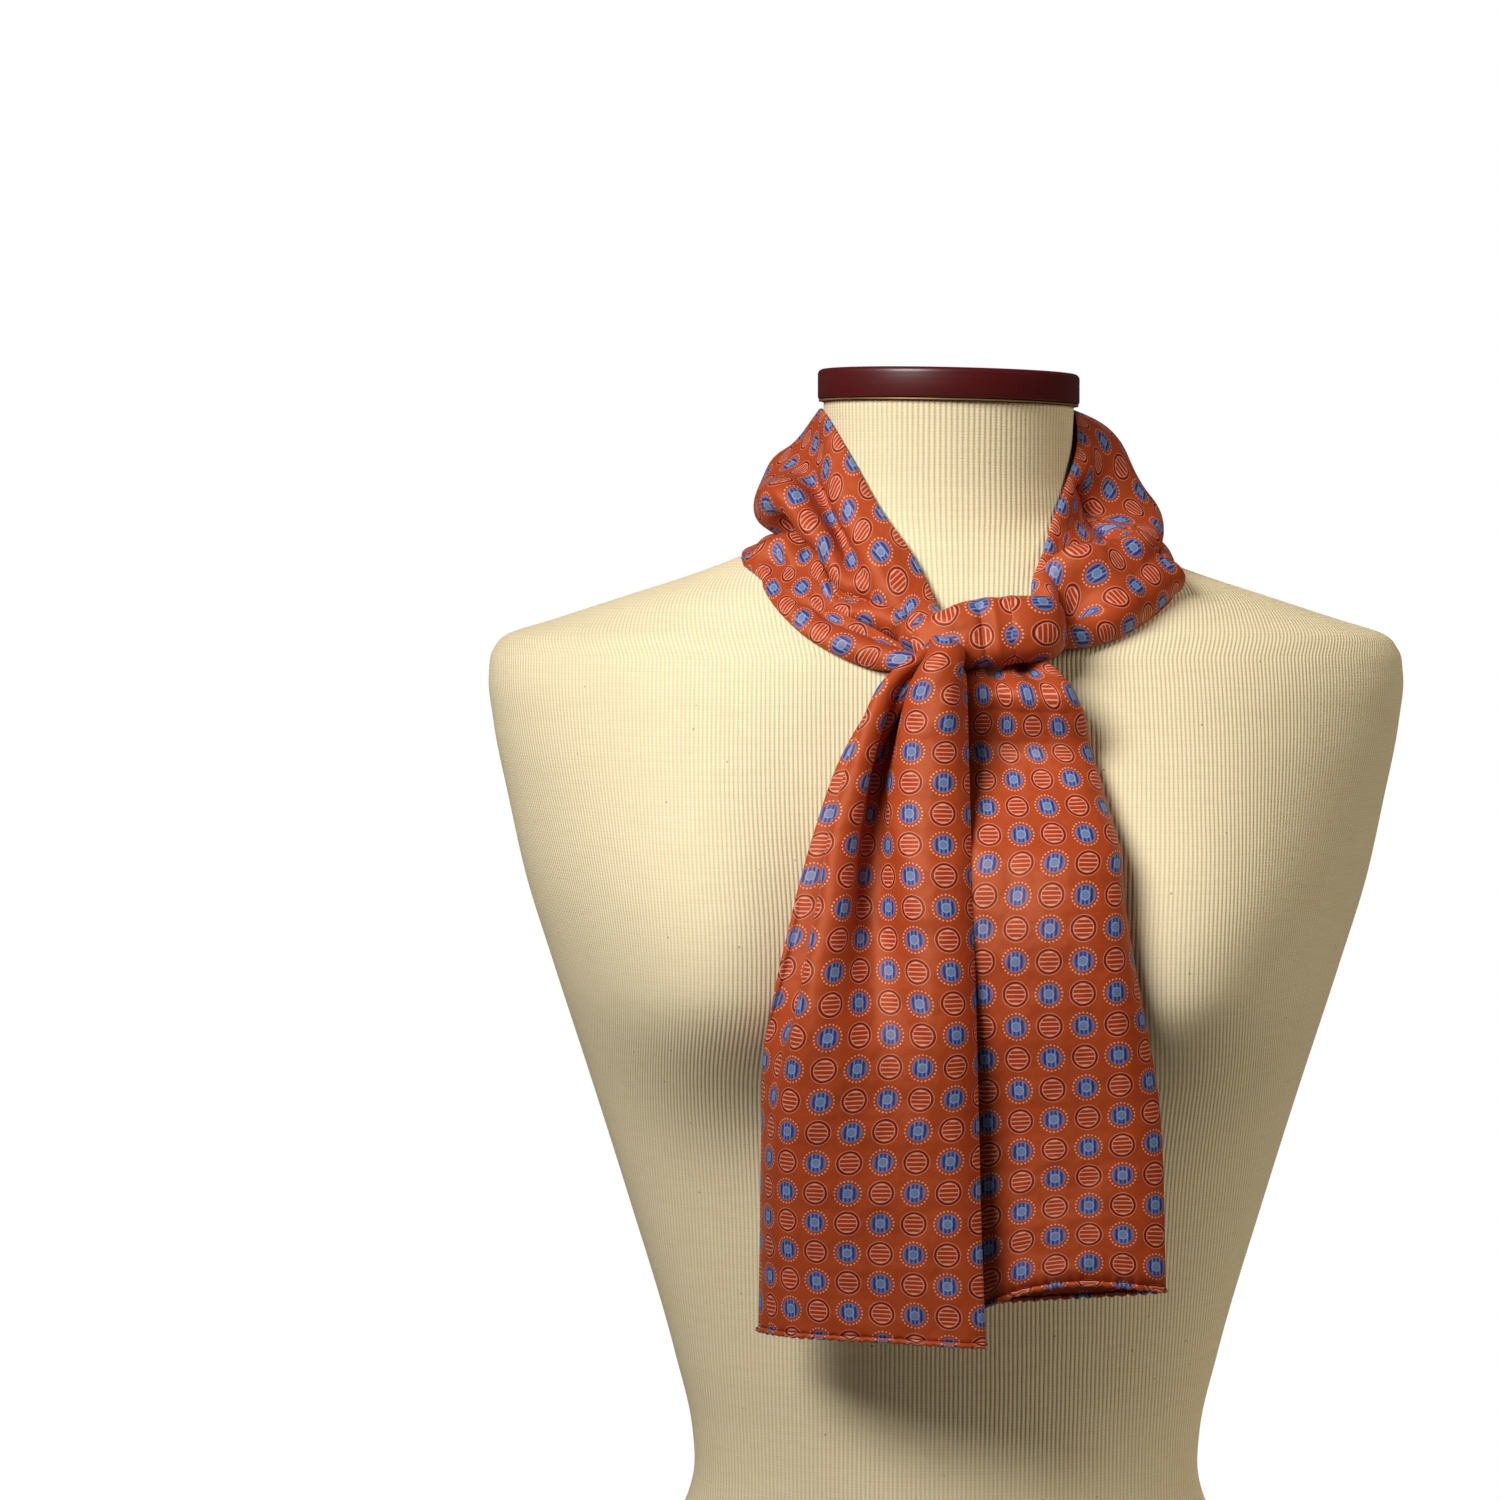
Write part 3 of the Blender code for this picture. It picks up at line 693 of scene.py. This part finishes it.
class Paint:
    """A material and the nodes that make its looks."""

    def __init__(self, name, roughness, **fixed):
        self.material = bpy.data.materials.new(name)
        self.material.use_nodes = True
        self.tree = self.material.node_tree
        self.shader = self.tree.nodes["Principled BSDF"]
        self.shader.inputs["Roughness"].default_value = roughness
        for socket, value in fixed.items():
            self.shader.inputs[socket.replace("_", " ")].default_value = value

    def feed(self, socket, value):
        """The socket gets a link where the value comes from another node, or else the value."""
        if isinstance(value, Number):
            value = value.socket
        if isinstance(value, bpy.types.NodeSocket):
            self.tree.links.new(value, socket)
        else:
            socket.default_value = value

    def node(self, kind, settings=None, **sockets):
        """A new node of this kind, with its settings made first."""
        made = self.tree.nodes.new(kind)
        for name, value in (settings or {}).items():
            setattr(made, name, value)
        for name, value in sockets.items():
            self.feed(made.inputs[name.replace("_", " ")], value)
        return made

    def mix(self, factor, under, over):
        """The over colour laid on the under colour as strongly as the factor says."""
        made = self.node("ShaderNodeMix", {"data_type": "RGBA"})
        self.feed(made.inputs[0], factor)
        self.feed(made.inputs[6], under)
        self.feed(made.inputs[7], over)
        return made.outputs[2]

    def map(self):
        """Places across and along the cloth, in millimetres, and the map as a vector."""
        read = self.node("ShaderNodeUVMap", {"uv_map": "cloth"}).outputs[0]
        split = self.node("ShaderNodeSeparateXYZ", Vector=read)
        return Number(self, split.outputs[0]), Number(self, split.outputs[1]), read

    def object_place(self):
        """The place on the part, in metres."""
        return self.node("ShaderNodeTexCoord").outputs["Object"]

    def drawn_out(self, place, scale):
        """The place with each of its directions scaled."""
        return self.node("ShaderNodeMapping", Vector=place, Scale=scale).outputs[0]

    def noise(self, vector, scale, detail=2.0, roughness=0.5):
        made = self.node(
            "ShaderNodeTexNoise", Vector=vector, Scale=scale, Detail=detail, Roughness=roughness
        )
        return Number(self, made.outputs[0])

    def specks(self, vector, scale, size, soft):
        """1 in small round specks, one to each cell."""
        cells = self.node("ShaderNodeTexVoronoi", Vector=vector, Scale=scale)
        return Number(self, cells.outputs["Distance"]).below(size, soft)

    def bump(self, height, distance, strength=1.0, before=None):
        made = self.node("ShaderNodeBump", Height=height, Distance=distance, Strength=strength)
        if before is not None:
            self.feed(made.inputs["Normal"], before)
        return made.outputs[0]

    def colour(self, value):
        self.feed(self.shader.inputs["Base Color"], value)

    def normal(self, value):
        self.feed(self.shader.inputs["Normal"], value)

    def roughness(self, value):
        self.feed(self.shader.inputs["Roughness"], value)


def tone(screen):
    """A colour for a material, from how it looks on a screen."""
    channels = [value / 255 for value in screen]
    line = [c / 12.92 if c < 0.04045 else ((c + 0.055) / 1.055) ** 2.4 for c in channels]
    return (*line, 1.0)


def striped_disc(paint, ground, radius, y):
    """Level stripes inside a pale rim and a dark ring."""
    disc = ground
    for middle, wide, colour in STRIPED_RINGS:
        disc = paint.mix(radius.band(middle, wide, PRINT_EDGE), disc, tone(colour))
    stripe = abs((y / STRIPE_PITCH).part() - 0.5).below(STRIPE_HALF, STRIPE_EDGE)
    stripe = stripe * abs(y).below(STRIPES_TALL, PRINT_EDGE)
    stripes = paint.mix(stripe, tone(STRIPE_PINK), tone(STRIPE_RED))
    disc = paint.mix(radius.below(STRIPED_RIM, PRINT_EDGE), disc, tone(RIM_PINK))
    return paint.mix(radius.below(STRIPES_RADIUS, PRINT_EDGE), disc, stripes)


def blue_disc(paint, ground, radius, x, y):
    """Upright bands behind a round hub, inside a ring of dots."""
    disc = tone(DISC_BLUE)
    side = abs(x)
    for middle, wide, colour in BLUE_BANDS:
        disc = paint.mix(side.band(middle, wide, PRINT_EDGE), disc, tone(colour))
    for edge, colour in BLUE_HUB:
        disc = paint.mix(radius.below(edge, PRINT_EDGE), disc, tone(colour))
    disc = paint.mix(radius.band(BLUE_RIM, BLUE_RIM_WIDE, PRINT_EDGE), disc, tone(RIM_BLUE))
    disc = paint.mix(radius.below(BLUE_RADIUS, PRINT_EDGE), ground, disc)
    turn = y.angle_from(x) * (RIM_DOTS / (2 * math.pi))
    beside = (turn.part() - 0.5) * (2 * math.pi * DOTS_RADIUS / RIM_DOTS)
    out = radius - DOTS_RADIUS
    dot = ((beside * beside + out * out) ** 0.5).below(DOT_RADIUS, PRINT_EDGE)
    return paint.mix(dot, disc, tone(DOT_PINK))


def printed_silk():
    """Orange silk twill with striped discs and blue discs printed in turn."""
    paint = Paint("printed silk", 0.45, Specular_IOR_Level=0.6, Specular_Tint=SILK_SHEEN)
    across, along, cloth_map = paint.map()
    drift = paint.noise(cloth_map, scale=0.35) - 0.5
    across = across + drift * PRINT_DRIFT
    along = along - drift * PRINT_DRIFT
    column = (across / DISC_PITCH).nearest()
    row = (along / ROW_PITCH).nearest()
    x = across - column * DISC_PITCH
    y = along - row * ROW_PITCH
    radius = (x * x + y * y) ** 0.5

    grain = paint.noise(cloth_map, scale=1.6, detail=3.0, roughness=0.7)
    slub = paint.noise(cloth_map, scale=0.12) * 0.35
    ground = paint.mix(grain, tone(SILK_DARK), tone(SILK_LIGHT))
    ground = paint.mix(slub, ground, tone(SILK_SLUB))
    striped = striped_disc(paint, ground, radius, y)
    blue = blue_disc(paint, ground, radius, x, y)
    print_face = paint.mix((column + row).odd(), striped, blue)
    paint.colour(paint.mix(grain * 0.22, print_face, tone(SILK_GRAIN)))

    soft_folds = paint.noise(cloth_map, scale=0.055, roughness=0.45)
    small_folds = paint.noise(cloth_map, scale=0.16)
    folds = paint.bump(soft_folds + small_folds * 0.05, distance=0.0025)
    twill = (across + along).wave(TWILL_PITCH)
    paint.normal(paint.bump(twill + grain, distance=0.00004, strength=0.5, before=folds))
    paint.roughness(0.42 + grain * 0.14)
    return paint.material


def rib_jersey():
    """Cream jersey with fine ribs that run up the form, with painted shade in the grooves between
    the ribs.
    """
    paint = Paint("rib jersey", 0.9, Specular_IOR_Level=0.2)
    across, along, _ = paint.map()
    place = paint.object_place()
    waver = paint.noise(place, scale=16.0) - 0.5
    across = across + waver * 1.6
    rib = (0.5 + across.wave(CHEST_RIB) * 0.5) ** 0.7
    course = 0.5 + (along + rib * 0.5).wave(COURSE_PITCH) * 0.5
    fibre = paint.noise(place, scale=900.0, detail=3.0, roughness=0.65)
    patch = paint.noise(place, scale=9.0, detail=3.0, roughness=0.55)
    stretched = along.below(STRETCHED_DROP, STRETCHED_FADE)

    ridge = paint.mix(patch, tone(RIDGE_PALE), tone(RIDGE_WARM))
    # The groove colour is painted shade in the recesses between the ribs, its tone varied at random
    # by the fibre
    groove_shade = paint.mix(fibre, tone(GROOVE_SHADE_DEEP), tone(GROOVE_SHADE_SOFT))
    face = paint.mix(rib * 0.85 + fibre * 0.25 - 0.04, groove_shade, ridge)
    # The painted groove shade is lightened everywhere, a little less near the neck
    face = paint.mix(0.4 - stretched * 0.1, face, ridge)
    level = paint.drawn_out(place, scale=(0.4, 0.4, 7.0))
    streak = paint.noise(level, scale=120.0, detail=3.0).below(0.45, soft=0.2)
    face = paint.mix(course * 0.2 + streak * 0.1, face, tone(STREAK_TAN))
    fleck = paint.specks(place, scale=75.0, size=0.035, soft=0.02)
    paint.colour(paint.mix(fleck * 0.7, face, tone(FLECK_BROWN)))

    height = (rib + course * 0.22 + fibre * 0.35) * (0.55 + stretched * 0.1)
    paint.normal(paint.bump(height, distance=0.0005, strength=0.9))
    return paint.material


def cherry_lacquer():
    """Dark red lacquered wood with a faint level grain."""
    paint = Paint("cherry lacquer", 0.4, Coat_Weight=0.15, Coat_Roughness=0.2)
    place = paint.object_place()
    level = paint.drawn_out(place, scale=(6.0, 6.0, 160.0))
    grain = paint.noise(level, scale=3.0, detail=5.0, roughness=0.6)
    patch = paint.noise(place, scale=12.0)
    face = paint.mix(grain, tone(LACQUER_DARK), tone(LACQUER_RED))
    paint.colour(paint.mix(patch * 0.5, face, tone(LACQUER_DULL)))
    paint.normal(paint.bump(grain, distance=0.0001, strength=0.4))
    return paint.material


def aged_brass():
    """Brass worn brighter in places."""
    paint = Paint("aged brass", 0.4, Metallic=0.7)
    worn = paint.noise(paint.object_place(), scale=60.0, detail=3.0)
    paint.colour(paint.mix(worn, tone(BRASS_DARK), tone(BRASS_LIGHT)))
    return paint.material


def pale_floor():
    """Plain pale grey."""
    paint = Paint("pale floor", 0.9)
    cloud = paint.noise(paint.object_place(), scale=0.6)
    paint.colour(paint.mix(cloud, tone(FLOOR_GREY), tone(FLOOR_PALE)))
    return paint.material


# The pieces


def own(piece, material, slot, *nodes):
    """The piece gets its material and rides with the part, standing for any nodes named."""
    piece.data.materials.append(material)
    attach(piece, "root")
    if nodes:
        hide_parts(*nodes)
    return piece


def cover_points():
    """Points of the form's knit cover, with their places round it and their drops."""
    fine = np.linspace(0, SHOULDER_DROP, SHOULDER_SAMPLES)
    step = np.hypot(np.diff(fine), np.diff(form_sizes(fine)[0]))
    down = np.concatenate([[0], np.cumsum(step)])
    upper = np.interp(np.linspace(0, down[-1], COVER_SHOULDER_ROWS), down, fine)
    lower = np.linspace(SHOULDER_DROP, NECK_TOP, COVER_LOWER_ROWS)
    drops = np.concatenate([upper, lower[1:]])[:, None]
    turn = np.linspace(-math.pi, math.pi, COVER_COLUMNS + 1)[None]
    half, front, back, middle, square = form_sizes(drops)
    across = np.sin(turn)
    ahead = np.cos(turn)
    x = half * np.sign(across) * np.abs(across) ** (2 / square)
    reach = np.where(ahead > 0, front - middle, back - middle)
    y = middle + reach * np.abs(ahead) ** (2 / square)
    y = np.where(ahead > 0, y - bust(x, drops, half), y)
    points = np.stack([x, y, NECK_TOP - drops + neck_tilt(x, drops)], axis=-1)
    points[:, -1] = points[:, 0]
    side = np.linalg.norm(np.diff(points[:, :, :2], axis=1), axis=-1)
    round_form = np.concatenate([np.zeros((len(drops), 1)), np.cumsum(side, axis=1)], axis=1)
    round_form -= round_form[:, COVER_COLUMNS // 2][:, None]
    narrow = np.interp(drops[:, 0], RIB_CHANGE, (CHEST_RIB / NECK_RIB, 1.0))
    return points, round_form * narrow[:, None], drops[:, 0]


def cover_piece(jersey):
    """The knit cover, drawn over the whole form."""
    points, round_form, drops = cover_points()
    piece = grid_piece("form_cover", points, round_form, drops, ends=True)
    own(piece, jersey, "jersey", "form_body")


def turned_piece(name, profile, height, material, slot, node):
    """A turned piece on the neck's tilted top, from its profile of radius and height."""
    work = bmesh.new()
    foot = NECK_TOP + height
    line = [work.verts.new((radius * MM, 0, (foot + rise) * MM)) for radius, rise in profile]
    edges = [work.edges.new(pair) for pair in zip(line, line[1:])]
    bmesh.ops.spin(
        work,
        geom=line + edges,
        cent=(0, 0, 0),
        axis=(0, 0, 1),
        angle=2 * math.pi,
        steps=TURNED_STEPS,
        use_merge=True,
    )
    bmesh.ops.remove_doubles(work, verts=work.verts, dist=MERGE)
    for vert in work.verts:
        vert.co.z -= vert.co.x * NECK_LEAN
    bmesh.ops.recalc_face_normals(work, faces=work.faces)
    piece = finished(name, work)
    piece.data.set_sharp_from_angle(angle=math.radians(SHARP_ANGLE))
    own(piece, material, slot, node)


def neck_fittings():
    """The wooden cap and the brass trim under it."""
    corner = [math.radians(angle) for angle in range(0, 91, CAP_ROUND_STEP)]
    inset = CAP_RADIUS - CAP_ROUND
    top = CAP_HEIGHT - CAP_ROUND
    profile = [(0, 0), (inset, 0), (CAP_RADIUS - CAP_EASE, CAP_EASE), (CAP_RADIUS, CAP_FOOT)]
    profile += [(inset + CAP_ROUND * math.cos(a), top + CAP_ROUND * math.sin(a)) for a in corner]
    profile += [(0, CAP_HEIGHT)]
    lift = 2 * CAP_GAP + TRIM_HEIGHT
    turned_piece("wooden_cap", profile, lift, cherry_lacquer(), "lacquered_wood", "neck_cap")
    ring = [(0, 0), (TRIM_RADIUS, 0), (TRIM_RADIUS, TRIM_HEIGHT), (0, TRIM_HEIGHT)]
    turned_piece("brass_trim", ring, CAP_GAP, aged_brass(), "brass", "cap_trim")


def layered(piece):
    """The tube's layers get the thickness of the silk, inwards."""
    wall = piece.modifiers.new("silk layer", "SOLIDIFY")
    wall.thickness = LAYER * MM
    wall.offset = -1
    wall.use_even_offset = False
    return piece


def wound(name, rows, across, steps, points, creases, held, silk, *nodes):
    """A stretch of the flat tube that is wound or tied, with no hem in sight."""
    gap = HALF_TUBE + REST_GAP
    surface, normal, places, lengths = cloth(rows, across, steps, points, gap, creases)
    rings, round_places = round_tube(surface, normal, places, HALF_TUBE, HALF_TUBE)
    piece = layered(grid_piece(name, rings, round_places, lengths))
    own(piece, silk, "printed_silk", *nodes)
    flat = (2 * across[-1] * MM, lengths[-1] * MM)


def hem_of(name, ring, round_places, normal_ring, length, silk):
    """The rolled hem round the open end of a tube, puckered where each stitch draws it in."""
    closed = np.concatenate([ring[-2:-1], ring, ring[1:2]])
    tangent = closed[2:] - closed[:-2]
    tangent /= np.linalg.norm(tangent, axis=1, keepdims=True)
    down = np.cross(tangent, normal_ring)
    down /= np.linalg.norm(down, axis=1, keepdims=True)
    run = np.concatenate([[0], np.cumsum(np.linalg.norm(np.diff(ring, axis=0), axis=1))])
    stitch = np.abs(np.sin(math.pi * run / HEM_PUCKER))
    radius = HEM_RADIUS * (HEM_THIN + HEM_SWELL * stitch)
    turn = np.linspace(0, 2 * math.pi, HEM_SIDES + 1)
    middle = ring - (0, 0, HEM_DROP) - np.outer(HEM_SCALLOP * stitch, (0, 0, 1))
    points = (
        middle[:, None]
        + (radius[:, None] * np.cos(turn))[..., None] * normal_ring[:, None]
        + (radius[:, None] * np.sin(turn))[..., None] * down[:, None]
    )
    points[:, -1] = points[:, 0]
    points[-1] = points[0]
    round_roll = length + HEM_RADIUS * turn
    piece = grid_piece(name, points.transpose(1, 0, 2), round_places, round_roll)
    return own(piece, silk, "printed_silk")


def tail(name, node, rows, across, creases, silk, mouth, lift, arch_from, shift):
    """A hanging end and its hem, which arches up: all of it, or the front of an open mouth."""
    gap = HALF_TUBE + REST_GAP + TAIL_CLEAR
    surface, normal, places, lengths = cloth(
        rows, across, TAIL_STEPS, TAIL_POINTS, gap, creases, TAIL_LEAN
    )
    above_hem = surface[:, :, 2] - surface[-1:, :, 2]
    stray = PUCKER_STRAY * np.sin(places / STRAY_WIDE)
    pucker = PUCKER_DEEP * np.exp(-above_hem / PUCKER_TALL)
    pucker *= np.sin(2 * math.pi * places / HEM_PUCKER + stray)
    surface = surface + pucker[..., None] * normal

    fade = np.clip(1 - above_hem / MOUTH_TALL, 0, 1) ** MOUTH_TAPER
    open_by = mouth * np.sin(math.pi * places / places[-1]) ** MOUTH_ROUND * fade
    front = (HALF_TUBE + open_by * MOUTH_FORWARD)[..., None]
    back = (HALF_TUBE + open_by * (1 - MOUTH_FORWARD))[..., None]
    past = np.clip((places / places[-1] - arch_from) / (1 - arch_from), 0, 1)
    arch = lift * np.sin(math.pi * past**ARCH_SKEW) * fade
    raised = arch[..., None] * np.array((0, 0, 1))
    if mouth == 0:
        surface = surface + raised
        raised = 0.0

    rings, round_places = round_tube(surface, normal, places, front, back, raised)
    round_places = round_places + shift[0]
    lengths = lengths - lengths[-1] + shift[1]
    piece = layered(grid_piece(name, rings, round_places, lengths))
    own(piece, silk, "printed_silk", node)
    middle = len(places) // 2
    inner = -normal[-1, middle::-1]
    outer = -normal[-1, : middle - 1 : -1]
    outward = np.concatenate([inner, normal[-1, :1], normal[-1], normal[-1, -1:], outer])
    hem = hem_of(f"{name}_hem", rings[-1], round_places, outward, lengths[-1], silk)
    flat = (2 * across[-1] * MM, (lengths[-1] - lengths[0]) * MM)


def scarf(silk):
    """The four stretches of the scarf that show."""
    wound(
        "scarf_round_neck",
        LOOP_ROWS,
        LOOP_ACROSS,
        LOOP_STEPS,
        LOOP_POINTS,
        LOOP_CREASES,
        "draped",
        silk,
        "wrap_left",
        "wrap_back",
        "wrap_right",
    )
    wound(
        "scarf_knot",
        KNOT_ROWS,
        KNOT_ACROSS,
        KNOT_STEPS,
        KNOT_POINTS,
        KNOT_CREASES,
        "folded",
        silk,
        "knot_band",
    )
    tail(
        "scarf_left_tail",
        "tail_left",
        LEFT_TAIL_ROWS,
        LEFT_TAIL_ACROSS,
        LEFT_TAIL_CREASES,
        silk,
        mouth=0.0,
        lift=LEFT_LIFT,
        arch_from=0.0,
        shift=LEFT_PRINT,
    )
    tail(
        "scarf_right_tail",
        "tail_right",
        RIGHT_TAIL_ROWS,
        RIGHT_TAIL_ACROSS,
        RIGHT_TAIL_CREASES,
        silk,
        mouth=MOUTH_DEEP,
        lift=FRONT_LIFT,
        arch_from=ARCH_FROM,
        shift=RIGHT_PRINT,
    )


# The studio


def floor():
    """A round of pale floor under the form."""
    work = bmesh.new()
    bmesh.ops.create_circle(work, cap_ends=True, segments=FLOOR_SIDES, radius=FLOOR_RADIUS)
    ground = finished("floor", work)
    ground.data.materials.append(pale_floor())


def lights():
    """A broad key light from the upper left, and two soft suns that no gloss shows."""
    softbox = bpy.data.lights.new("key", "SPOT")
    softbox.energy = KEY_POWER
    softbox.shadow_soft_size = KEY_SIZE
    softbox.spot_size = math.radians(KEY_CONE)
    softbox.spot_blend = KEY_BLEND
    key = placed("key", softbox)
    key.location = KEY_PLACE
    aim = Vector(KEY_AIM) - Vector(KEY_PLACE)
    key.rotation_euler = aim.to_track_quat("-Z", "Y").to_euler()
    for name, power, spread_angle, turn in SUNS:
        lamp = bpy.data.lights.new(name, "SUN")
        lamp.energy = power
        lamp.color = SUN_COLOUR
        lamp.angle = math.radians(spread_angle)
        sun = placed(name, lamp)
        sun.rotation_euler = [math.radians(angle) for angle in turn]
        sun.visible_glossy = False


def backdrop():
    """White behind the form, which gives little light itself."""
    world = bpy.data.worlds.new("studio")
    bpy.context.scene.world = world
    world.use_nodes = True
    nodes = world.node_tree.nodes
    links = world.node_tree.links
    white = nodes["Background"]
    white.inputs["Color"].default_value = (1, 1, 1, 1)
    rays = nodes.new("ShaderNodeLightPath")
    strength = nodes.new("ShaderNodeMix")
    strength.inputs[2].default_value = SKY_LIGHT
    strength.inputs[3].default_value = SKY_SEEN
    links.new(rays.outputs["Is Camera Ray"], strength.inputs[0])
    links.new(strength.outputs[0], white.inputs["Strength"])


def camera():
    """The view of the photograph."""
    lens = bpy.data.cameras.new("camera")
    lens.lens = LENS
    lens.sensor_width = SENSOR
    lens.clip_end = FAR_CLIP
    view = placed("camera", lens)
    view.location = CAMERA_PLACE
    view.rotation_euler = (math.radians(CAMERA_LEAN), 0, 0)
    bpy.context.scene.camera = view
    bpy.context.scene.view_settings.view_transform = "Standard"


floor()
lights()
backdrop()
camera()
cover_piece(rib_jersey())
neck_fittings()
scarf(printed_silk())

bpy.context.view_layer.update()
